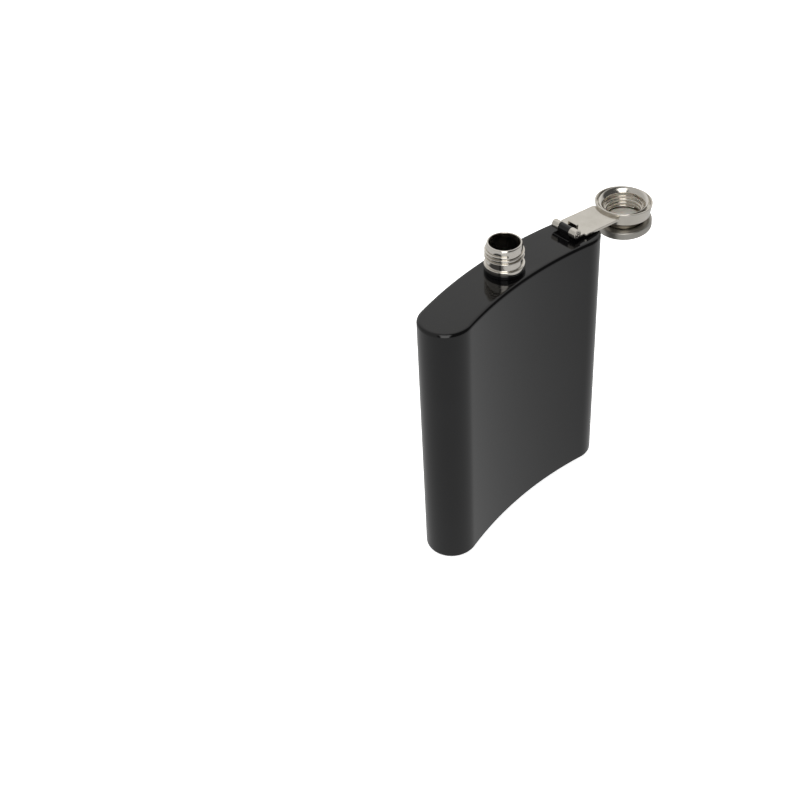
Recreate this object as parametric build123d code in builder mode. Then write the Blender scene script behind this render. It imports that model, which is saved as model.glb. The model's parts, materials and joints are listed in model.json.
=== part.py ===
"""Hip flask with a captive screw cap, open: the arm lies over the left shoulder, the cap hangs upside down.

The origin is the middle of the bottom. +Z is up, the bulging face looks along -Y, the hollow face that lies
against the hip looks along +Y, and the hinge of the cap's arm is on the -X side of the neck.
"""
from build123d import *
import math
import os

# Body of the flask
body_width = 93.0
body_height = 109.0
body_depth = 20.3  # across the slot-shaped section, the same everywhere
bow = 4.0  # how far the two round ends stand behind the middle
wall = 0.6
rim_radius = 1.4  # outside radius of the plates' rims
plate_skirt = 2.0  # depth of the plates' sides, down to the weld on the shell

# Neck: heights are above the top plate
spout_root = 13.5  # outside diameter under the thread
spout_wall = 0.925
spout_lip = 2.45  # height of the spout above its thread
lip_length = 1.5
lip_draft = 0.35
spout_tail = 2.5  # length of the spout below the top plate
collar_wall = 0.85
collar_height = 1.7
bead_length = 1.6

# Thread, right-handed
pitch = 1.5
thread_depth = 0.65
thread_rise = 2.4  # from the bead to the start of the spout's ridge
thread_turns = 2.5
thread_start = 238.0  # where the ridge starts, round the neck from the side away from the hinge
ridge_base = 0.8
ridge_crest = 0.35
crest_clearance = 0.2  # between the cap's ridge and the spout
root_clearance = 0.1  # between the spout's ridge and the cap's sleeve
ridge_inset = 0.45  # from each end of the cap's sleeve to the middle of its ridge
insert_lead = 1.1  # turns of the spout's ridge below the cap's, cap closed
unscrew_turns = 2

# Cap, in its closed place
cap_wall = 0.35
insert_wall = 0.35
seal_thickness = 1.05
mouth_gap = 0.1  # the cap's mouth stands this far inside the ring's
flange_catch = 0.8  # how far the flange reaches under the ring's step
flange_thickness = 0.7
flare_radius = 0.5
crown_gap = 3.1  # height of the bare shell between the ring and the crown
crown_overhang = 0.6
crown_edge = 3.2
crown_dome = 0.75
crown_rounding = 0.5

# Captive arm
ring_gap = 0.3  # between the bead and the ring
ring_height = 5.1
ring_wall = 0.8
ring_taper = 0.8
ring_step = 1.6  # depth of the wide part of the bore, which takes the cap's flange
ring_shift = 0.4  # the ring stands this much further from the hinge than the closed cap
cap_play = 0.75
flange_play = 0.8
catch_clearance = 0.05
arm_thickness = 1.0
arm_half_width = 6.9
arm_rise = 2.7  # degrees, closed
arm_overlap = 0.3  # how far the flat of the arm reaches past the ring's bore before that is cut
knuckle_inner = 2.7
knuckle_outer = 6.0
arm_corner = 0.3
neck_in_length = 4.0  # the arm is as narrow as its knuckles up to here
notch_depth = 3.3
tab_half_width = 2.3
tab_length = 2.1

# Hinge
shoulder_inset = 14.3  # from the side of the body to the pin
knuckle_height = 1.1  # gap between the knuckles and the top plate
pin_diameter = 1.6
running_clearance = 0.05
lug_clearance = 0.15  # on each side of the lug, between the knuckles
lug_wall = 0.9
lug_post = 1.6
bracket_foot = 0.5
bracket_foot_length = 6.0
bracket_foot_half_width = 4.2
foot_corner = 1.0

# Pose in which the flask is modelled
arm_slope = 4.0  # degrees that the open arm falls away from the flask

# Sizes that follow
half_span = (body_width - body_depth) / 2
bow_radius = (half_span**2 + bow**2) / (2 * bow)
lift = unscrew_turns * pitch

mouth_bore = spout_root - 2 * spout_wall
collar_diameter = spout_root + 2 * collar_wall
bead_height = collar_height + bead_length
thread_crest = spout_root + 2 * thread_depth
thread_low = bead_height + thread_rise
spout_height = thread_low + thread_turns * pitch + spout_lip

insert_minor = spout_root + 2 * crest_clearance
insert_major = thread_crest + 2 * root_clearance
insert_low = thread_low + insert_lead * pitch
insert_bottom = insert_low - ridge_inset
insert_top = spout_height - running_clearance
insert_turns = (insert_top - ridge_inset - insert_low) / pitch
seal_bottom = spout_height + running_clearance
seal_top = seal_bottom + seal_thickness

shell_inner = insert_major / 2 + insert_wall + running_clearance
shell_outer = shell_inner + cap_wall
cap_top = seal_top + running_clearance + cap_wall
ring_low = bead_height + ring_gap
cap_mouth = ring_low + mouth_gap
flange_top = cap_mouth + flange_thickness
crown_low = ring_low + ring_height + crown_gap
crown_top = crown_low + crown_edge

ring_bore = shell_outer + cap_play
flange_radius = ring_bore + flange_catch
step_bore = flange_radius + flange_play
ring_foot_radius = step_bore + ring_wall
ring_top_radius = ring_foot_radius - ring_taper
crown_radius = ring_top_radius + crown_overhang

barrel_radius = pin_diameter / 2 + arm_thickness
pin_height = barrel_radius + knuckle_height
lug_radius = pin_diameter / 2 + lug_wall
lug_half_width = knuckle_inner - lug_clearance
pin_x = shoulder_inset - body_width / 2
pin_y = bow_radius - math.sqrt(bow_radius**2 - pin_x**2)
hinge_reach = math.hypot(pin_x, pin_y)  # from the pin to the neck's axis
toward_neck = Vector(-pin_x, -pin_y, 0).normalized()

# The arm stays down on the bead until the cap's flange has risen to the ring's step, and then follows it
flange_slack = ring_low + ring_step - flange_top
arm_lag = math.degrees(math.asin((lift - flange_slack + catch_clearance) / (hinge_reach - flange_radius)))
swing = 180 + arm_slope - arm_rise - arm_lag

# Frames: x points from the hinge to the neck, y along the hinge pin, z up the neck
neck = Plane((0, 0, body_height), x_dir=toward_neck, z_dir=(0, 0, 1))
hinge = Plane(neck.from_local_coords((-hinge_reach, 0, pin_height)), x_dir=toward_neck, z_dir=(0, 0, 1))
swung = Plane(hinge.location * Rotation(0, -swing, 0))
raised = swung.from_local_coords((hinge_reach, 0, lift - pin_height))
cap = Plane(raised, x_dir=swung.x_dir, z_dir=swung.z_dir)
arm = Plane(hinge.location * Rotation(0, -swing - arm_lag, 0))


def upright(frame, offset=0.0):
    """The plane through a frame's x and z axes, in which profiles are drawn."""
    return Plane(frame.from_local_coords((0, offset, 0)), x_dir=frame.x_dir, z_dir=-frame.y_dir)


def level(frame, height):
    """The plane at one height along a frame's z axis."""
    return Plane(frame.from_local_coords((0, 0, height)), x_dir=frame.x_dir, z_dir=frame.z_dir)


def centre_line(frame):
    return Axis(frame.origin, frame.z_dir)


def ridge_path(frame, low, start, turns, diameter):
    """The helix of a thread ridge, from low up the frame's z axis and start degrees round from its x axis."""
    foot = frame.location * Location((0, 0, low), (0, 0, start))
    return Edge.make_helix(pitch, turns * pitch, diameter / 2).moved(foot)


def ridge_section(path, frame, base, crest):
    """The plane across the start of a ridge, with x away from its crest, and the outline from crest to base."""
    start = path @ 0
    along = frame.z_dir
    outward = start - frame.origin
    outward = (outward - along * outward.dot(along)).normalized()
    outline = [
        (base - crest, -ridge_base / 2),
        (0, -ridge_crest / 2),
        (0, ridge_crest / 2),
        (base - crest, ridge_base / 2),
    ]
    return Plane(start, x_dir=outward, z_dir=path % 0), outline


def slot_outline(depth):
    """The body's section: a slot bent along the bow, depth across."""
    with BuildLine() as middle:
        ThreePointArc((-half_span, bow), (0, 0), (half_span, bow))
    return SlotArc(middle.edge(), depth)


def write(part, label):
    part.label = label
    export_step(part, f"parts/{label}.step")


os.makedirs("parts", exist_ok=True)
inner_depth = body_depth - 2 * wall

# Shell: the sheet that is rolled into a tube and welded between the two plates
with BuildPart() as body_shell:
    with BuildSketch(Plane.XY.offset(plate_skirt)):
        slot_outline(body_depth)
    extrude(amount=body_height - 2 * plate_skirt)
    with BuildSketch(Plane.XY.offset(plate_skirt)):
        slot_outline(inner_depth)
    extrude(amount=body_height - 2 * plate_skirt, mode=Mode.SUBTRACT)
write(body_shell.part, "body_shell")

# Bottom plate: a shallow pressed dish
with BuildPart() as bottom_plate:
    with BuildSketch():
        slot_outline(body_depth)
    extrude(amount=plate_skirt)
    fillet(bottom_plate.faces().sort_by(Axis.Z)[0].edges(), rim_radius)
    with BuildSketch(Plane.XY.offset(wall)):
        slot_outline(inner_depth)
    extrude(amount=plate_skirt - wall, mode=Mode.SUBTRACT)
write(bottom_plate.part, "bottom_plate")

# Top plate: the same dish, with the hole for the spout
with BuildPart() as top_plate:
    with BuildSketch(Plane.XY.offset(body_height - plate_skirt)):
        slot_outline(body_depth)
    extrude(amount=plate_skirt)
    fillet(top_plate.faces().sort_by(Axis.Z)[-1].edges(), rim_radius)
    with BuildSketch(Plane.XY.offset(body_height - plate_skirt)):
        slot_outline(inner_depth)
    extrude(amount=plate_skirt - wall, mode=Mode.SUBTRACT)
    with Locations(neck):
        Hole(radius=spout_root / 2 + running_clearance)
write(top_plate.part, "top_plate")

# Collar: the painted ring that stiffens the hole
with BuildPart() as neck_collar:
    with BuildSketch(neck):
        Circle(collar_diameter / 2)
        Circle(spout_root / 2 + running_clearance, mode=Mode.SUBTRACT)
    extrude(amount=collar_height)
write(neck_collar.part, "neck_collar")

# Spout: a tube through the top plate, with a bead that sits on the collar and a threaded end
spout_path = ridge_path(neck, thread_low, thread_start, thread_turns, thread_crest)
with BuildPart() as threaded_spout:
    with BuildSketch(upright(neck)):
        with BuildLine():
            Polyline(
                (mouth_bore / 2, -spout_tail),
                (spout_root / 2, -spout_tail),
                (spout_root / 2, collar_height),
                (collar_diameter / 2, collar_height),
                (collar_diameter / 2, bead_height),
                (spout_root / 2, bead_height),
                (spout_root / 2, spout_height - lip_length),
                (spout_root / 2 - lip_draft, spout_height),
                (mouth_bore / 2, spout_height),
                close=True,
            )
        make_face()
    revolve(axis=centre_line(neck))
    bead_edges = threaded_spout.edges().filter_by(GeomType.CIRCLE).group_by(SortBy.RADIUS)[-1]
    fillet(bead_edges, bead_length / 3)
    plane, outline = ridge_section(spout_path, neck, spout_root / 2 - running_clearance, thread_crest / 2)
    with BuildSketch(plane):
        with BuildLine():
            Polyline(*outline, close=True)
        make_face()
    sweep(path=spout_path, is_frenet=True)
write(threaded_spout.part, "threaded_spout")

# Bracket: the foot and lug that carry the hinge pin, between the arm's knuckles
with BuildPart() as hinge_bracket:
    with BuildSketch(level(hinge, -pin_height)):
        RectangleRounded(bracket_foot_length, 2 * bracket_foot_half_width, foot_corner)
    extrude(amount=bracket_foot)
    with BuildSketch(upright(hinge)):
        Circle(lug_radius)
        with Locations((0, (bracket_foot - pin_height) / 2)):
            Rectangle(lug_post, pin_height - bracket_foot)
        Circle(pin_diameter / 2 + running_clearance, mode=Mode.SUBTRACT)
    extrude(amount=lug_half_width, both=True)
write(hinge_bracket.part, "hinge_bracket")

# Pin
with BuildPart() as hinge_pin:
    with BuildSketch(upright(hinge)):
        Circle(pin_diameter / 2)
    extrude(amount=knuckle_outer, both=True)
write(hinge_pin.part, "hinge_pin")

# Arm: two knuckles, a flat arm with a bent tab, and the ring that holds the cap
ring_centre = hinge_reach + ring_shift
ring_foot = ring_low - pin_height
ring_top = ring_foot + ring_height
rise = math.tan(math.radians(arm_rise))
arm_end = ring_centre - ring_bore - arm_overlap
plate_top = barrel_radius
plate_bottom = barrel_radius - arm_thickness
with BuildPart() as captive_arm:
    with BuildSketch(upright(arm)):
        with BuildLine():
            Polyline(
                (0, plate_bottom),
                (arm_end, plate_bottom + arm_end * rise),
                (arm_end, plate_top + arm_end * rise),
                (0, plate_top),
                close=True,
            )
        make_face()
    extrude(amount=arm_half_width, both=True)
    with BuildSketch(level(arm, 0)):
        for side in (-1, 1):
            with Locations((neck_in_length / 2, side * (knuckle_outer + arm_half_width) / 2)):
                Rectangle(neck_in_length, arm_half_width - knuckle_outer)
    extrude(amount=ring_top, mode=Mode.SUBTRACT)
    fillet(captive_arm.edges().filter_by(centre_line(arm)), arm_corner)
    with BuildSketch(upright(arm)):
        Circle(barrel_radius)
    extrude(amount=knuckle_outer, both=True)
    with BuildSketch(level(arm, 0)):
        with Locations((notch_depth / 2 - barrel_radius / 2, 0)):
            Rectangle(notch_depth + barrel_radius, 2 * knuckle_inner)
    extrude(amount=2 * barrel_radius, both=True, mode=Mode.SUBTRACT)
    with BuildSketch(upright(arm)):
        with Locations((notch_depth + arm_thickness / 2, plate_top - (tab_length + arm_thickness) / 2)):
            Rectangle(arm_thickness, tab_length + arm_thickness)
    extrude(amount=tab_half_width, both=True)
    with BuildSketch(upright(arm)):
        with BuildLine():
            Polyline(
                (ring_centre, ring_foot),
                (ring_centre + ring_foot_radius, ring_foot),
                (ring_centre + ring_top_radius, ring_top),
                (ring_centre, ring_top),
                close=True,
            )
        make_face()
    revolve(axis=Axis(arm.from_local_coords((ring_centre, 0, 0)), arm.z_dir))
    for radius, depth in ((ring_bore, ring_height), (step_bore, ring_step)):
        with BuildSketch(level(arm, ring_foot)):
            with Locations((ring_centre, 0)):
                Circle(radius)
        extrude(amount=depth, mode=Mode.SUBTRACT)
    with BuildSketch(upright(arm)):
        Circle(pin_diameter / 2 + running_clearance)
    extrude(amount=knuckle_outer, both=True, mode=Mode.SUBTRACT)
write(captive_arm.part, "captive_arm")

# Cap shell: a drawn cup whose mouth is turned out into the flange that the ring catches
turned = shell_outer + flare_radius
with BuildPart() as cap_shell:
    with BuildSketch(upright(cap)):
        with BuildLine():
            Line((0, cap_top), (shell_outer, cap_top))
            Line((shell_outer, cap_top), (shell_outer, flange_top + flare_radius))
            RadiusArc((shell_outer, flange_top + flare_radius), (turned, flange_top), -flare_radius)
            Line((turned, flange_top), (flange_radius, flange_top))
            Line((flange_radius, flange_top), (flange_radius, cap_mouth))
            Line((flange_radius, cap_mouth), (turned, cap_mouth))
            Line((turned, cap_mouth), (shell_inner, flange_top + flare_radius))
            Line((shell_inner, flange_top + flare_radius), (shell_inner, cap_top - cap_wall))
            Line((shell_inner, cap_top - cap_wall), (0, cap_top - cap_wall))
            Line((0, cap_top - cap_wall), (0, cap_top))
        make_face()
    revolve(axis=centre_line(cap))
write(cap_shell.part, "cap_shell")

# Thread insert: the sleeve inside the cap, whose ridge runs between the turns of the spout's
insert_start = thread_start + 360 * ((insert_low - thread_low) / pitch - 0.5)
insert_path = ridge_path(cap, insert_low, insert_start, insert_turns, insert_minor)
with BuildPart() as cap_thread_insert:
    with BuildSketch(level(cap, insert_bottom)):
        Circle(shell_inner - running_clearance)
        Circle(insert_major / 2, mode=Mode.SUBTRACT)
    extrude(amount=insert_top - insert_bottom)
    plane, outline = ridge_section(insert_path, cap, insert_major / 2 + running_clearance, insert_minor / 2)
    with BuildSketch(plane):
        with BuildLine():
            Polyline(*outline, close=True)
        make_face()
    sweep(path=insert_path, is_frenet=True)
write(cap_thread_insert.part, "cap_thread_insert")

# Seal: a flat disc against the end of the cap, which lands on the spout's rim
with BuildPart() as cap_seal:
    with BuildSketch(level(cap, seal_bottom)):
        Circle(insert_minor / 2)
    extrude(amount=seal_top - seal_bottom)
write(cap_seal.part, "cap_seal")

# Crown: the knob that is gripped, slightly domed, with a pocket for the closed end of the shell
pocket_radius = shell_outer + running_clearance
with BuildPart() as cap_crown:
    with BuildSketch(upright(cap)) as crown_section:
        with BuildLine():
            Polyline(
                (0, crown_top + crown_dome),
                (0, cap_top),
                (pocket_radius, cap_top),
                (pocket_radius, crown_low),
                (crown_radius, crown_low),
                (crown_radius, crown_top),
            )
            dome_radius = (crown_radius**2 + crown_dome**2) / (2 * crown_dome)
            RadiusArc((crown_radius, crown_top), (0, crown_top + crown_dome), -dome_radius)
        make_face()
        fillet(crown_section.vertices().sort_by(Axis.X)[-2:], crown_rounding)
    revolve(axis=centre_line(cap))
write(cap_crown.part, "cap_crown")

print("swing", round(swing, 4), "lag", round(arm_lag, 4), "lift", lift, "reach", round(hinge_reach, 4))
for name, frame in (("neck", neck), ("hinge", hinge), ("arm", arm), ("cap", cap)):
    vectors = (frame.origin, frame.x_dir, frame.y_dir, frame.z_dir)
    print(name, *[tuple(round(value, 5) for value in vector) for vector in vectors])
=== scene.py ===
"""Hip flask with a captive screw cap, open, in a white studio. Lengths are in metres, in the frame's axes."""

import json
import math

import bmesh
import bpy
from mathutils import Matrix, Vector


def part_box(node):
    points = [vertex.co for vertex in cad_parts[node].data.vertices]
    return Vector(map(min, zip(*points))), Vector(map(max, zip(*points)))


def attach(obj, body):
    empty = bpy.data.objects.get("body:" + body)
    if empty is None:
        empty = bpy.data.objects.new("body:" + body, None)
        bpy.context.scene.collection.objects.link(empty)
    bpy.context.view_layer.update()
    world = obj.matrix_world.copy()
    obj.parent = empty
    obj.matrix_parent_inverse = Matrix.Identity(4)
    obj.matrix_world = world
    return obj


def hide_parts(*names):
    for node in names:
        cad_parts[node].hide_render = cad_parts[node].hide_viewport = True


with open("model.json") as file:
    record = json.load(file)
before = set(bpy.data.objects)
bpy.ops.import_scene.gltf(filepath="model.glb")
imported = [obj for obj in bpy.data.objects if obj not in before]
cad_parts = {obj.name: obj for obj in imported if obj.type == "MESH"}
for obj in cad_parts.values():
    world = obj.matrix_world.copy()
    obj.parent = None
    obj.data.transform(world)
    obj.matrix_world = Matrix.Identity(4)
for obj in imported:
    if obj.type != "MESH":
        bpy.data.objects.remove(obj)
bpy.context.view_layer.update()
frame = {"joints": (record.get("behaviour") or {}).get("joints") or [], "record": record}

MM = 0.001
UP = Vector((0, 0, 1))

# ---------------------------------------------------------------- places, read from the frame

shell_low, shell_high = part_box("body_shell")
collar_low, collar_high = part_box("neck_collar")
spout_low, spout_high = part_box("threaded_spout")
joints = {joint["name"]: joint for joint in frame["joints"]}
ratios = {link["joint"]: link["ratio"] for link in frame["record"]["behaviour"]["couplings"]}
body_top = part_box("top_plate")[1].z

pin_centre = Vector(joints["arm_swing"]["pos_m"])
pin_axis = Vector(joints["arm_swing"]["axis"]).normalized()
screw_axis = Vector(joints["cap_screw"]["axis"]).normalized()
swing = math.radians(joints["arm_swing"]["range_deg"][1])
lift = joints["cap_advance"]["range_m"][1]
lag = ratios["arm_follow"] * lift
pitch = 2 * math.pi / ratios["cap_screw"]
pin_height = (pin_centre.z - body_top) / MM

# ---------------------------------------------------------------- sizes in mm, heights above the top plate

wall = 0.6
rim_radius = 1.4
body_depth = 20.3
running_clearance = 0.05

spout_root = 6.75  # radii from here on
mouth_bore = 5.825
spout_tail = -2.5
collar_radius = (collar_high.x - collar_low.x) / 2 / MM
collar_height = (collar_high.z - collar_low.z) / MM
bead_height = 3.3
spout_height = (spout_high.z - body_top) / MM
thread_crest = 7.4
thread_low = 5.7
thread_turns = 2.5
thread_start = 238
ridge_half = 0.42

pin_radius = 0.8
barrel_radius = 1.8
lug_radius = 1.7
lug_half_width = 2.55
lug_post_half = 0.8
foot_half_length = 3.0
foot_half_width = 4.2
foot_thickness = 0.5
knuckle_inner = 2.7
knuckle_outer = 6.0

arm_thickness = 1.0
arm_half_width = 6.9
arm_rise = math.tan(math.radians(2.7))
neck_in_length = 3.9
notch_depth = 3.3
tab_half_width = 2.3
tab_length = 2.1
ring_shift = 0.4
ring_low = 3.6
ring_height = 5.1
ring_step = 1.6
ring_bore = 9.0
step_bore = 10.6
ring_foot_radius = 11.4
ring_top_radius = 10.6

shell_outer = 8.25
shell_inner = 7.9
flange_radius = 9.8
flange_low = 3.7
flange_high = 4.4
cap_top = 13.4
insert_major = 7.5
insert_minor = 6.95
insert_low = 7.35
insert_bottom = 6.9
insert_top = 11.85
seal_bottom = 11.95
seal_top = 13.0
crown_low = 11.8
crown_top = 15.0
crown_dome = 0.75
crown_radius = 11.2
crown_rounding = 0.5

lip_length = 1.5  # the neck's mouth, drawn in and thinned above the thread
lip_shoulder = 0.85
lip_ease = 0.1
lip_draw_in = 0.35
ridge_sink = 0.1  # how far a ridge's root is sunk in the wall that it stands on
arm_flare = 0.6
ring_tie = 0.9
arm_corner = 0.45
arm_edge = 0.16
edge_ease = 0.15
cup_sheet = 0.35
seal_print = 0.07  # the groove that the neck's mouth has pressed in the seal

face_steps = 60
end_steps = 40
rim_segments = 8
circle_steps = 96
fine_steps = 128
small_steps = 48
pin_steps = 32

body_width = (shell_high.x - shell_low.x) / MM
bow = (shell_high.y - shell_low.y) / MM - body_depth
half_span = (body_width - body_depth) / 2
bow_radius = (half_span**2 + bow**2) / (2 * bow)
bow_angle = math.asin(half_span / bow_radius)
neck_middle = (spout_low + spout_high) / 2
hinge_reach = math.hypot(pin_centre.x - neck_middle.x, pin_centre.y - neck_middle.y) / MM
ring_centre = hinge_reach + ring_shift


def turned_frame(origin, x_direction, z_direction):
    """The matrix that takes a piece drawn upright at the origin to its place."""
    z = z_direction.normalized()
    x = (x_direction - z * x_direction.dot(z)).normalized()
    y = z.cross(x)
    return Matrix.Translation(origin) @ Matrix((x, y, z)).transposed().to_4x4()


toward_neck = pin_axis.cross(UP).normalized()
neck_place = turned_frame(Vector((neck_middle.x, neck_middle.y, body_top)), toward_neck, UP)
hinge_place = turned_frame(pin_centre, toward_neck, UP)
arm_place = hinge_place @ Matrix.Rotation(-swing - lag, 4, "Y")
cap_place = turned_frame(Vector(joints["cap_screw"]["pos_m"]), hinge_place.to_3x3() @ (
    Matrix.Rotation(-swing, 3, "Y") @ Vector((1, 0, 0))), -screw_axis)

# ---------------------------------------------------------------- camera

focal_length = 59.5
sensor_width = 36
lens_shift = (-0.1253, -0.0676)
camera_place = Vector((304.1, 257.6, 382.1)) * MM
camera_aim = Vector((-0.6013, -0.5133, -0.6123))

camera_data = bpy.data.cameras.new("camera")
camera = bpy.data.objects.new("camera", camera_data)
bpy.context.scene.collection.objects.link(camera)
bpy.context.scene.camera = camera
camera_data.lens = focal_length
camera_data.sensor_width = sensor_width
camera_data.shift_x, camera_data.shift_y = lens_shift
camera_data.clip_start = 0.01
camera_data.clip_end = 20
camera.location = camera_place
camera.rotation_mode = "QUATERNION"
camera.rotation_quaternion = camera_aim.to_track_quat("-Z", "Y")

# ---------------------------------------------------------------- mesh helpers


def new_piece(name, mesh, material, place, body, stands_for):
    """Makes an object of a finished bmesh, in its place, with its material, body and slot."""
    mesh.transform(place)
    bmesh.ops.remove_doubles(mesh, verts=mesh.verts, dist=1e-7)
    bmesh.ops.recalc_face_normals(mesh, faces=mesh.faces)
    data = bpy.data.meshes.new(name)
    mesh.to_mesh(data)
    mesh.free()
    data.shade_smooth()
    data.materials.append(material)
    piece = bpy.data.objects.new(name, data)
    bpy.context.scene.collection.objects.link(piece)
    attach(piece, body)
    if stands_for:
        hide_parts(*stands_for)
    return piece


def even_normals(piece):
    """Keeps flat faces flat next to their rounded edges."""
    weighted = piece.modifiers.new("normals", "WEIGHTED_NORMAL")
    weighted.keep_sharp = True
    weighted.weight = 80


def chain(mesh, points, closed=False):
    """A line of edges through points given as (radius or x, height) in millimetres."""
    corners = [mesh.verts.new((x * MM, 0, z * MM)) for x, z in points]
    edges = [mesh.edges.new(pair) for pair in zip(corners, corners[1:])]
    if closed:
        edges.append(mesh.edges.new((corners[-1], corners[0])))
    return corners, edges


def rounded(points, radius, steps=4):
    """The closed outline with each corner replaced by an arc; a radius of 0 leaves the corner as it is."""
    result = []
    count = len(points)
    for i, corner in enumerate(points):
        here = Vector(corner)
        before = Vector(points[i - 1]) - here
        after = Vector(points[(i + 1) % count]) - here
        reach = min(radius, 0.45 * before.length, 0.45 * after.length)
        start = here + before.normalized() * reach
        end = here + after.normalized() * reach
        for k in range(steps + 1):
            t = k / steps
            result.append(tuple(start * (1 - t) ** 2 + here * 2 * t * (1 - t) + end * t**2))
    return result


def turned(points, radius=0.0, steps=circle_steps, closed=True, centre_x=0.0):
    """A ring or knob turned from an outline of (radius, height) points about the upright axis."""
    outline = rounded(points, radius) if radius else points
    mesh = bmesh.new()
    corners, edges = chain(mesh, outline, closed)
    bmesh.ops.spin(
        mesh,
        geom=corners + edges,
        cent=(0, 0, 0),
        axis=(0, 0, 1),
        angle=2 * math.pi,
        steps=steps,
        use_merge=True,
    )
    bmesh.ops.translate(mesh, verts=mesh.verts, vec=(centre_x * MM, 0, 0))
    return mesh


def coiled(root, crest, low, start, turns, steps_per_turn=72):
    """A thread ridge from a root radius to a crest radius, wound up a right-hand helix."""
    shoulder = crest + (root - crest) * 0.15
    outline = [
        (root, -ridge_half),
        (shoulder, -0.5 * ridge_half),
        (crest, -0.25 * ridge_half),
        (crest, 0.25 * ridge_half),
        (shoulder, 0.5 * ridge_half),
        (root, ridge_half),
    ]
    mesh = bmesh.new()
    corners, edges = chain(mesh, outline, closed=True)
    face = mesh.faces.new(corners)
    steps = round(turns * steps_per_turn)
    bmesh.ops.spin(
        mesh,
        geom=[face] + edges + corners,
        cent=(0, 0, 0),
        axis=(0, 0, 1),
        dvec=(0, 0, pitch / steps_per_turn),
        angle=2 * math.pi * steps / steps_per_turn,
        steps=steps,
    )
    place = Matrix.Translation((0, 0, low * MM)) @ Matrix.Rotation(math.radians(start), 4, "Z")
    mesh.transform(place)
    return mesh


def joined(*meshes):
    """One bmesh that holds several."""
    whole = bmesh.new()
    for mesh in meshes:
        data = bpy.data.meshes.new("part")
        mesh.to_mesh(data)
        mesh.free()
        whole.from_mesh(data)
        bpy.data.meshes.remove(data)
    return whole


def slab(points, half_width, radius, segments=3):
    """A plate from an outline of (x, height) points on the hinge's cross plane, half_width to each side."""
    mesh = bmesh.new()
    corners, edges = chain(mesh, points, closed=True)
    face = mesh.faces.new(corners)
    bmesh.ops.translate(mesh, verts=corners, vec=(0, -half_width * MM, 0))
    grown = bmesh.ops.extrude_face_region(mesh, geom=[face])
    moved = [item for item in grown["geom"] if isinstance(item, bmesh.types.BMVert)]
    bmesh.ops.translate(mesh, verts=moved, vec=(0, 2 * half_width * MM, 0))
    bmesh.ops.recalc_face_normals(mesh, faces=mesh.faces)
    if radius:
        sharp = [edge for edge in mesh.edges if edge.calc_face_angle(0) > math.radians(30)]
        bmesh.ops.bevel(
            mesh,
            geom=sharp,
            offset=radius * MM,
            segments=segments,
            profile=0.5,
            affect="EDGES",
            material=-1,
        )
    return mesh


# ---------------------------------------------------------------- materials


def socket(group, name, kind, direction, value=None):
    made = group.interface.new_socket(name=name, in_out=direction, socket_type=kind)
    if value is not None:
        made.default_value = value


def make_handling_marks():
    """Group: slow unevenness, fine rubbing and a very fine ripple of a surface that hands have held."""
    group = bpy.data.node_groups.new("handling_marks", "ShaderNodeTree")
    socket(group, "Patch Scale", "NodeSocketFloat", "INPUT", 60.0)
    socket(group, "Rub Scale", "NodeSocketFloat", "INPUT", 900.0)
    socket(group, "Low", "NodeSocketFloat", "INPUT", 0.1)
    socket(group, "High", "NodeSocketFloat", "INPUT", 0.2)
    socket(group, "Roughness", "NodeSocketFloat", "OUTPUT")
    socket(group, "Mask", "NodeSocketFloat", "OUTPUT")
    socket(group, "Ripple", "NodeSocketFloat", "OUTPUT")
    nodes, links = group.nodes, group.links
    given = nodes.new("NodeGroupInput")
    out = nodes.new("NodeGroupOutput")
    place = nodes.new("ShaderNodeTexCoord")
    patches = nodes.new("ShaderNodeTexNoise")
    patches.inputs["Detail"].default_value = 3
    rubs = nodes.new("ShaderNodeTexNoise")
    rubs.inputs["Detail"].default_value = 5
    rubs.inputs["Roughness"].default_value = 0.65
    both = nodes.new("ShaderNodeMath")
    both.operation = "MULTIPLY_ADD"
    both.inputs[1].default_value = 0.35
    spread = nodes.new("ShaderNodeMapRange")
    spread.inputs["From Min"].default_value = 0.45
    spread.inputs["From Max"].default_value = 0.85
    links.new(place.outputs["Object"], patches.inputs["Vector"])
    links.new(place.outputs["Object"], rubs.inputs["Vector"])
    links.new(given.outputs["Patch Scale"], patches.inputs["Scale"])
    links.new(given.outputs["Rub Scale"], rubs.inputs["Scale"])
    links.new(rubs.outputs["Fac"], both.inputs[0])
    links.new(patches.outputs["Fac"], both.inputs[2])
    links.new(both.outputs[0], spread.inputs["Value"])
    links.new(given.outputs["Low"], spread.inputs["To Min"])
    links.new(given.outputs["High"], spread.inputs["To Max"])
    links.new(spread.outputs["Result"], out.inputs["Roughness"])
    links.new(both.outputs[0], out.inputs["Mask"])
    links.new(rubs.outputs["Fac"], out.inputs["Ripple"])
    return group


def make_grain():
    """Group: the height of a brushed grain, along whatever direction the given vector is squeezed in."""
    group = bpy.data.node_groups.new("brushing", "ShaderNodeTree")
    socket(group, "Vector", "NodeSocketVector", "INPUT")
    socket(group, "Scale", "NodeSocketFloat", "INPUT", 2500.0)
    socket(group, "Grain", "NodeSocketFloat", "OUTPUT")
    nodes, links = group.nodes, group.links
    given = nodes.new("NodeGroupInput")
    out = nodes.new("NodeGroupOutput")
    grain = nodes.new("ShaderNodeTexNoise")
    grain.inputs["Detail"].default_value = 2
    links.new(given.outputs["Vector"], grain.inputs["Vector"])
    links.new(given.outputs["Scale"], grain.inputs["Scale"])
    links.new(grain.outputs["Fac"], out.inputs["Grain"])
    return group


handling_marks = make_handling_marks()
brushing = make_grain()


def new_material(name):
    material = bpy.data.materials.new(name)
    material.use_nodes = True
    shader = material.node_tree.nodes["Principled BSDF"]
    return material, material.node_tree, shader


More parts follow.
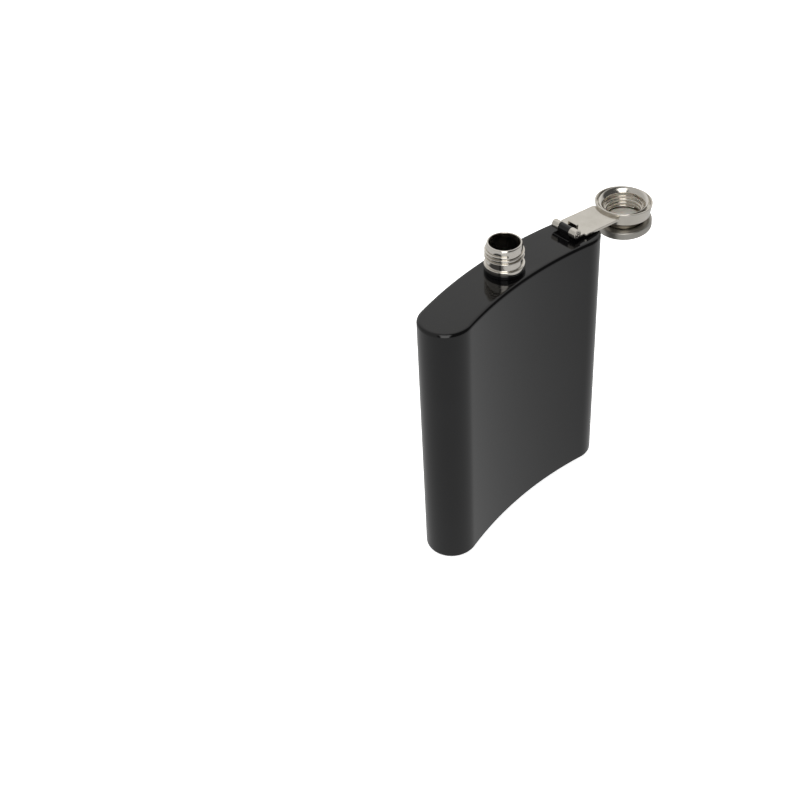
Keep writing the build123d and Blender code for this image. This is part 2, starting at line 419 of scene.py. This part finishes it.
def marks_in(tree, shader, patch, rub, low, high):
    """Places the handling marks in a material and drives its roughness with them."""
    marks = tree.nodes.new("ShaderNodeGroup")
    marks.node_tree = handling_marks
    marks.inputs["Patch Scale"].default_value = patch
    marks.inputs["Rub Scale"].default_value = rub
    marks.inputs["Low"].default_value = low
    marks.inputs["High"].default_value = high
    tree.links.new(marks.outputs["Roughness"], shader.inputs["Roughness"])
    return marks


def bump_in(tree, shader, height, strength, distance):
    bump = tree.nodes.new("ShaderNodeBump")
    bump.inputs["Strength"].default_value = strength
    bump.inputs["Distance"].default_value = distance
    tree.links.new(height, bump.inputs["Height"])
    tree.links.new(bump.outputs["Normal"], shader.inputs["Normal"])


def two_tones(tree, shader, mask, dark, light):
    """Base colour that drifts between two tones with a mask."""
    ramp = tree.nodes.new("ShaderNodeValToRGB")
    ramp.color_ramp.elements[0].position = 0.4
    ramp.color_ramp.elements[0].color = (*dark, 1)
    ramp.color_ramp.elements[1].position = 0.9
    ramp.color_ramp.elements[1].color = (*light, 1)
    tree.links.new(mask, ramp.inputs["Fac"])
    tree.links.new(ramp.outputs["Color"], shader.inputs["Base Color"])


def black_gloss_paint():
    material, tree, shader = new_material("black_gloss_paint")
    shader.inputs["IOR"].default_value = 1.48
    marks = marks_in(tree, shader, 35, 1400, 0.05, 0.11)
    two_tones(tree, shader, marks.outputs["Mask"], (0.0025, 0.0025, 0.0027), (0.005, 0.005, 0.0054))
    bump_in(tree, shader, marks.outputs["Ripple"], 0.2, 0.000002)
    return material


def polished_nickel():
    material, tree, shader = new_material("polished_nickel")
    shader.inputs["Metallic"].default_value = 1.0
    marks = marks_in(tree, shader, 140, 1600, 0.1, 0.2)
    two_tones(tree, shader, marks.outputs["Mask"], (0.68, 0.645, 0.59), (0.8, 0.765, 0.705))
    bump_in(tree, shader, marks.outputs["Ripple"], 0.3, 0.000002)
    return material


def brushed_nickel(name, place, across, low, high, dark, light):
    """Nickel with a fine brushed grain; across says how much the grain is stretched along each axis."""
    material, tree, shader = new_material(name)
    shader.inputs["Metallic"].default_value = 1.0
    where = tree.nodes.new("ShaderNodeTexCoord")
    mapping = tree.nodes.new("ShaderNodeMapping")
    mapping.vector_type = "TEXTURE"
    mapping.inputs["Location"].default_value = place.translation
    mapping.inputs["Rotation"].default_value = place.to_euler()
    stretch = tree.nodes.new("ShaderNodeVectorMath")
    stretch.operation = "MULTIPLY"
    stretch.inputs[1].default_value = across
    grain = tree.nodes.new("ShaderNodeGroup")
    grain.node_tree = brushing
    grain.inputs["Scale"].default_value = 2600
    tree.links.new(where.outputs["Object"], mapping.inputs["Vector"])
    tree.links.new(mapping.outputs["Vector"], stretch.inputs[0])
    tree.links.new(stretch.outputs["Vector"], grain.inputs["Vector"])
    marks = marks_in(tree, shader, 120, 1200, low, high)
    two_tones(tree, shader, marks.outputs["Mask"], dark, light)
    bump_in(tree, shader, grain.outputs["Grain"], 0.35, 0.000003)
    return material


def silicone():
    material, tree, shader = new_material("pale_silicone")
    shader.inputs["Subsurface Weight"].default_value = 0.1
    shader.inputs["Subsurface Scale"].default_value = 0.001
    marks = marks_in(tree, shader, 200, 2500, 0.3, 0.42)
    two_tones(tree, shader, marks.outputs["Mask"], (0.7, 0.67, 0.61), (0.8, 0.77, 0.71))
    return material


def bare_steel():
    material, tree, shader = new_material("bare_steel")
    shader.inputs["Metallic"].default_value = 1.0
    marks = marks_in(tree, shader, 90, 1500, 0.25, 0.4)
    two_tones(tree, shader, marks.outputs["Mask"], (0.42, 0.41, 0.39), (0.55, 0.54, 0.52))
    return material


paint = black_gloss_paint()
nickel = polished_nickel()
arm_nickel = brushed_nickel(
    "arm_nickel", arm_place, (0.08, 1, 1), 0.14, 0.24, (0.62, 0.585, 0.525), (0.74, 0.705, 0.64)
)
crown_nickel = brushed_nickel(
    "crown_nickel", cap_place, (1, 0.08, 1), 0.34, 0.46, (0.4, 0.385, 0.35), (0.5, 0.48, 0.44)
)
rubber = silicone()
steel = bare_steel()

# ---------------------------------------------------------------- body of the flask


def body_skin():
    """The outside of the body: one upright edge swept round the bowed slot, closed above and below."""
    mesh = bmesh.new()
    start = Vector((-math.sin(bow_angle), -math.cos(bow_angle), 0)) * (bow_radius + body_depth / 2)
    start = (start + Vector((0, bow_radius, 0))) * MM
    low, high = mesh.verts.new(start), mesh.verts.new(start + UP * body_top)
    edge = mesh.edges.new((low, high))
    turns = [
        ((0, bow_radius, 0), 2 * bow_angle, face_steps),
        ((half_span, bow, 0), math.pi, end_steps),
        ((0, bow_radius, 0), -2 * bow_angle, face_steps),
        ((-half_span, bow, 0), math.pi, end_steps),
    ]
    last = [low, high, edge]
    for centre, angle, steps in turns:
        swept = bmesh.ops.spin(
            mesh, geom=last, cent=Vector(centre) * MM, axis=(0, 0, 1), angle=angle, steps=steps
        )
        last = swept["geom_last"]
    bmesh.ops.remove_doubles(mesh, verts=mesh.verts, dist=1e-6)
    rims = [edge for edge in mesh.edges if edge.is_boundary]
    lower = [edge for edge in rims if edge.verts[0].co.z < body_top / 2]
    upper = [edge for edge in rims if edge.verts[0].co.z > body_top / 2]
    bmesh.ops.holes_fill(mesh, edges=lower, sides=0)
    hole = bmesh.ops.create_circle(
        mesh, cap_ends=False, radius=(spout_root + running_clearance) * MM, segments=circle_steps
    )["verts"]
    bmesh.ops.translate(mesh, verts=hole, vec=(neck_middle.x, neck_middle.y, body_top))
    hole_edges = list({edge for vert in hole for edge in vert.link_edges})
    bmesh.ops.bridge_loops(mesh, edges=upper + hole_edges)
    bmesh.ops.recalc_face_normals(mesh, faces=mesh.faces)
    bmesh.ops.bevel(
        mesh,
        geom=lower + upper,
        offset=rim_radius * MM,
        segments=rim_segments,
        profile=0.5,
        affect="EDGES",
        material=-1,
    )
    return mesh


body = new_piece(
    "painted_body",
    body_skin(),
    paint,
    Matrix.Identity(4),
    "flask",
    ["body_shell", "top_plate", "bottom_plate"],
)
body.data.materials.append(steel)
sheet = body.modifiers.new("sheet", "SOLIDIFY")
sheet.thickness = wall * MM
sheet.offset = -1
sheet.material_offset = 1
even_normals(body)

# ---------------------------------------------------------------- neck

hole = spout_root + running_clearance
collar_outline = [(hole, 0), (collar_radius, 0), (collar_radius, collar_height), (hole, collar_height)]
collar = new_piece(
    "painted_collar",
    turned(collar_outline, radius=0.25),
    paint,
    neck_place,
    "flask",
    ["neck_collar"],
)
even_normals(collar)

spout_outline = [
    (mouth_bore, spout_tail),
    (spout_root, spout_tail),
    (spout_root, collar_height),
    (collar_radius, collar_height),
    (collar_radius, bead_height),
    (spout_root, bead_height),
    (spout_root, spout_height - lip_length),
    (spout_root - lip_ease, spout_height - lip_shoulder),
    (spout_root - lip_draw_in, spout_height),
    (mouth_bore, spout_height),
]
new_piece(
    "spout",
    joined(
        turned(spout_outline, radius=0.35),
        coiled(spout_root - ridge_sink, thread_crest, thread_low, thread_start, thread_turns),
    ),
    nickel,
    neck_place,
    "flask",
    ["threaded_spout"],
)

# ---------------------------------------------------------------- hinge

pin_bore = pin_radius + running_clearance


def drum(inner, outer, near, far, rounding):
    """A short tube round the hinge's axis, from near to far along it."""
    outline = [(inner, near), (outer, near), (outer, far), (inner, far)]
    mesh = turned(outline, radius=rounding, steps=small_steps)
    mesh.transform(Matrix.Rotation(math.pi / 2, 4, "X"))
    return mesh


def block(low_x, low_z, high_x, high_z, half_width, rounding):
    """A plate with a rectangular outline on the hinge's cross plane."""
    corners = [(low_x, low_z), (high_x, low_z), (high_x, high_z), (low_x, high_z)]
    return slab(corners, half_width, rounding)


lug_round = drum(pin_bore, lug_radius, -lug_half_width, lug_half_width, 0.15)
foot_top = foot_thickness - pin_height
lug_post = block(-lug_post_half, foot_top - 0.3, lug_post_half, -1.2, lug_half_width, 0.1)
foot = block(-foot_half_length, -pin_height, foot_half_length, foot_top, foot_half_width, 0.2)
bracket = new_piece(
    "bracket",
    joined(lug_round, lug_post, foot),
    paint,
    hinge_place,
    "flask",
    ["hinge_bracket"],
)
even_normals(bracket)

pin_outline = [
    (0, -knuckle_outer),
    (pin_radius, -knuckle_outer),
    (pin_radius, knuckle_outer),
    (0, knuckle_outer),
]
pin_mesh = turned(pin_outline, radius=0.15, steps=pin_steps, closed=False)
pin_mesh.transform(Matrix.Rotation(math.pi / 2, 4, "X"))
new_piece("pin", pin_mesh, nickel, hinge_place, "hinge_pin", ["hinge_pin"])

# ---------------------------------------------------------------- captive arm


def arm_plate():
    """The flat of the arm: notched between the knuckles, as wide as them there, wider towards the ring."""
    mesh = bmesh.new()
    end = ring_centre - step_bore
    flare = neck_in_length + arm_flare
    side = [
        (notch_depth, knuckle_inner),
        (0, knuckle_inner),
        (0, knuckle_outer),
        (neck_in_length, knuckle_outer),
        (flare, arm_half_width),
        (end + arm_flare, arm_half_width),
        (end + ring_tie, arm_half_width - 1.1),
        (end, arm_half_width - 3.3),
    ]
    outline = side + [(x, -y) for x, y in reversed(side)]
    under = barrel_radius - arm_thickness
    corners = [mesh.verts.new((x * MM, y * MM, (under + x * arm_rise) * MM)) for x, y in outline]
    face = mesh.faces.new(corners)
    grown = bmesh.ops.extrude_face_region(mesh, geom=[face])
    moved = [item for item in grown["geom"] if isinstance(item, bmesh.types.BMVert)]
    bmesh.ops.translate(mesh, verts=moved, vec=(0, 0, arm_thickness * MM))
    bmesh.ops.recalc_face_normals(mesh, faces=mesh.faces)
    upright_edges = [
        edge
        for edge in mesh.edges
        if abs((edge.verts[0].co - edge.verts[1].co).normalized().z) > 0.9
    ]
    bmesh.ops.bevel(
        mesh, geom=upright_edges, offset=arm_corner * MM, segments=4, profile=0.5, affect="EDGES", material=-1
    )
    flats = [edge for edge in mesh.edges if edge.calc_face_angle(0) > math.radians(60)]
    bmesh.ops.bevel(
        mesh, geom=flats, offset=arm_edge * MM, segments=3, profile=0.5, affect="EDGES", material=-1
    )
    return mesh


ring_foot = ring_low - pin_height
ring_top = ring_foot + ring_height
ring_outline = [
    (step_bore, ring_foot),
    (ring_foot_radius, ring_foot),
    (ring_top_radius, ring_top),
    (ring_bore, ring_top),
    (ring_bore, ring_foot + ring_step),
    (step_bore, ring_foot + ring_step),
]
tab_top = barrel_radius + 0.1
tab = block(
    notch_depth, tab_top - tab_length - 1, notch_depth + arm_thickness, tab_top - 0.2, tab_half_width, 0.15
)
arm = new_piece(
    "arm",
    joined(
        arm_plate(),
        drum(pin_bore, barrel_radius, knuckle_inner, knuckle_outer, 0.18),
        drum(pin_bore, barrel_radius, -knuckle_outer, -knuckle_inner, 0.18),
        tab,
        turned(ring_outline, radius=0.28, centre_x=ring_centre, steps=fine_steps),
    ),
    arm_nickel,
    arm_place,
    "arm",
    ["captive_arm"],
)
even_normals(arm)

# ---------------------------------------------------------------- cap

cup_outline = [
    (0, cap_top),
    (shell_outer - edge_ease, cap_top),
    (shell_outer, cap_top - edge_ease),
    (shell_outer, flange_high + 1.5),
    (shell_outer + 0.1, flange_high + 1.15),
    (flange_radius - 0.2, flange_high - 0.05),
    (flange_radius, flange_high - 0.3),
    (flange_radius, flange_low + edge_ease),
    (flange_radius - 0.12, flange_low),
    (flange_radius - 0.3, flange_low + 0.03),
    (shell_outer, flange_high + 0.6),
    (shell_inner + 0.07, flange_high + 1),
    (shell_inner, flange_high + 1.4),
    (shell_inner, cap_top - 0.5),
    (shell_inner - edge_ease, cap_top - cup_sheet),
    (0, cap_top - cup_sheet),
]
new_piece(
    "cap_cup",
    turned(cup_outline, closed=False, steps=fine_steps),
    nickel,
    cap_place,
    "cap",
    ["cap_shell"],
)

insert_outer = shell_inner - running_clearance
sleeve_outline = [
    (insert_major, insert_bottom),
    (insert_outer, insert_bottom),
    (insert_outer, insert_top),
    (insert_major, insert_top),
]
insert_start = thread_start + 360 * ((insert_low - thread_low) * MM / pitch - 0.5)
insert_turns = (insert_top - ridge_half - insert_low) * MM / pitch
new_piece(
    "cap_thread",
    joined(
        turned(sleeve_outline, radius=0.1),
        coiled(insert_major + ridge_sink, insert_minor, insert_low, insert_start, insert_turns),
    ),
    nickel,
    cap_place,
    "cap",
    ["cap_thread_insert"],
)

seal_radius = insert_minor
seal_outline = [
    (0, seal_bottom),
    (mouth_bore - 0.6, seal_bottom),
    (mouth_bore - 0.4, seal_bottom + seal_print),
    (mouth_bore - 0.1, seal_bottom),
    (seal_radius - edge_ease, seal_bottom),
    (seal_radius, seal_bottom + edge_ease),
    (seal_radius, seal_top - edge_ease),
    (seal_radius - edge_ease, seal_top),
    (0, seal_top),
]
new_piece(
    "seal",
    turned(seal_outline, closed=False),
    rubber,
    cap_place,
    "seal",
    ["cap_seal"],
)


def crown_points():
    """The knob's outline: a pocket for the shell's closed end, a rounded rim, a shallow dome above."""
    sphere = (crown_radius**2 + crown_dome**2) / (2 * crown_dome)
    quarter = [math.radians(18 * k) for k in range(6)]
    inside = crown_radius - crown_rounding
    pocket = shell_outer + running_clearance
    ceiling = cap_top + running_clearance
    under = [(0, ceiling), (pocket, ceiling), (pocket, crown_low + edge_ease)]
    under += [(pocket + edge_ease, crown_low), (inside - 0.1, crown_low)]
    low_rim = [
        (inside + crown_rounding * math.sin(a), crown_low + crown_rounding * (1 - math.cos(a)))
        for a in quarter
    ]
    high_rim = [
        (inside + crown_rounding * math.cos(a), crown_top - crown_rounding * (0.9 - math.sin(a)))
        for a in quarter
    ]
    steps = 9
    reach = inside - 0.35
    radii = [reach * (1 - k / steps) for k in range(steps + 1)]
    top = [(r, crown_top + crown_dome - sphere + math.sqrt(sphere**2 - r**2)) for r in radii]
    return under + low_rim + high_rim + top


new_piece(
    "crown",
    turned(crown_points(), closed=False, steps=fine_steps),
    crown_nickel,
    cap_place,
    "cap",
    ["cap_crown"],
)

# ---------------------------------------------------------------- studio

floor_glow = 0.78  # what the camera sees of the floor, beside the light that falls on it
floor_in_reflections = 0.58
screen_toward = (-0.604, -0.507, 0.616)
screen_place = (-0.75, -0.65, 0.95)
screen_side = 0.9
screen_power = 12
curtain_toward = (0.1, 0.93, 0.35)
strip_toward = (0.766, 0.643, 0)
strip_across = (-0.643, 0.766, 0)
strip_strength = 2.2


def seen_by_camera(tree):
    return tree.nodes.new("ShaderNodeLightPath").outputs["Is Camera Ray"]


def make_floor():
    """White to the camera; in reflections it is a grey table."""
    mesh = bmesh.new()
    bmesh.ops.create_grid(mesh, x_segments=1, y_segments=1, size=3)
    data = bpy.data.meshes.new("floor")
    mesh.to_mesh(data)
    mesh.free()
    made = bpy.data.objects.new("floor", data)
    bpy.context.scene.collection.objects.link(made)
    material, tree, shader = new_material("white_floor")
    shader.inputs["Base Color"].default_value = (0.93, 0.93, 0.93, 1)
    shader.inputs["Roughness"].default_value = 0.9
    shader.inputs["Emission Color"].default_value = (1, 1, 1, 1)
    shader.inputs["Emission Strength"].default_value = floor_glow
    glow = tree.nodes.new("ShaderNodeEmission")
    glow.inputs["Strength"].default_value = floor_in_reflections
    mix = tree.nodes.new("ShaderNodeMixShader")
    output = tree.nodes["Material Output"]
    tree.links.new(seen_by_camera(tree), mix.inputs["Fac"])
    tree.links.new(glow.outputs["Emission"], mix.inputs[1])
    tree.links.new(shader.outputs["BSDF"], mix.inputs[2])
    tree.links.new(mix.outputs["Shader"], output.inputs["Surface"])
    data.materials.append(material)
    return made


def soft_light(name, location, target, width, height, power):
    data = bpy.data.lights.new(name, "AREA")
    data.shape = "RECTANGLE"
    data.size = width
    data.size_y = height
    data.energy = power
    light = bpy.data.objects.new(name, data)
    bpy.context.scene.collection.objects.link(light)
    light.location = location
    light.visible_glossy = False
    light.rotation_mode = "QUATERNION"
    light.rotation_quaternion = (Vector(target) - Vector(location)).to_track_quat("-Z", "Y")


def side_of_room(tree, where, direction, first, last, away, near):
    """A brightness that goes from one value to another as a direction comes near the given one."""
    toward = tree.nodes.new("ShaderNodeVectorMath")
    toward.operation = "DOT_PRODUCT"
    toward.inputs[1].default_value = direction
    change = tree.nodes.new("ShaderNodeMapRange")
    change.interpolation_type = "SMOOTHSTEP"
    change.inputs["From Min"].default_value = first
    change.inputs["From Max"].default_value = last
    change.inputs["To Min"].default_value = away
    change.inputs["To Max"].default_value = near
    tree.links.new(where.outputs["Generated"], toward.inputs[0])
    tree.links.new(toward.outputs["Value"], change.inputs["Value"])
    return change.outputs["Result"]


def make_world():
    """White to the camera; to everything else a room with a bright screen, a dark curtain and a strip lamp."""
    world = bpy.data.worlds.new("studio")
    bpy.context.scene.world = world
    world.use_nodes = True
    tree = world.node_tree
    room = tree.nodes["Background"]
    room.inputs["Color"].default_value = (1, 0.995, 0.98, 1)
    white = tree.nodes.new("ShaderNodeBackground")
    white.inputs["Color"].default_value = (1, 1, 1, 1)
    white.inputs["Strength"].default_value = 1.0
    where = tree.nodes.new("ShaderNodeTexCoord")
    screen = side_of_room(tree, where, screen_toward, 0.6, 0.84, 0.5, 0.78)
    curtain = side_of_room(tree, where, curtain_toward, 0.3, 0.48, 1.0, 0.14)
    across = tree.nodes.new("ShaderNodeVectorMath")
    across.operation = "DOT_PRODUCT"
    across.inputs[1].default_value = strip_across
    beside = tree.nodes.new("ShaderNodeMath")
    beside.operation = "ABSOLUTE"
    strip = tree.nodes.new("ShaderNodeMapRange")
    strip.inputs["From Min"].default_value = 0.2
    strip.inputs["From Max"].default_value = 0.32
    strip.inputs["To Min"].default_value = strip_strength
    strip.inputs["To Max"].default_value = 0
    front = side_of_room(tree, where, strip_toward, 0.25, 0.35, 0, 1)
    lamp = tree.nodes.new("ShaderNodeMath")
    lamp.operation = "MULTIPLY"
    both = tree.nodes.new("ShaderNodeMath")
    both.operation = "MULTIPLY_ADD"
    mix = tree.nodes.new("ShaderNodeMixShader")
    tree.links.new(screen, both.inputs[0])
    tree.links.new(curtain, both.inputs[1])
    tree.links.new(where.outputs["Generated"], across.inputs[0])
    tree.links.new(across.outputs["Value"], beside.inputs[0])
    tree.links.new(beside.outputs[0], strip.inputs["Value"])
    tree.links.new(strip.outputs["Result"], lamp.inputs[0])
    tree.links.new(front, lamp.inputs[1])
    tree.links.new(lamp.outputs[0], both.inputs[2])
    tree.links.new(both.outputs[0], room.inputs["Strength"])
    tree.links.new(seen_by_camera(tree), mix.inputs["Fac"])
    tree.links.new(room.outputs["Background"], mix.inputs[1])
    tree.links.new(white.outputs["Background"], mix.inputs[2])
    tree.links.new(mix.outputs["Shader"], tree.nodes["World Output"].inputs["Surface"])


make_floor()
soft_light("screen", screen_place, (0, 0, 0.08), screen_side, screen_side, screen_power)
make_world()
bpy.context.scene.view_settings.view_transform = "Standard"
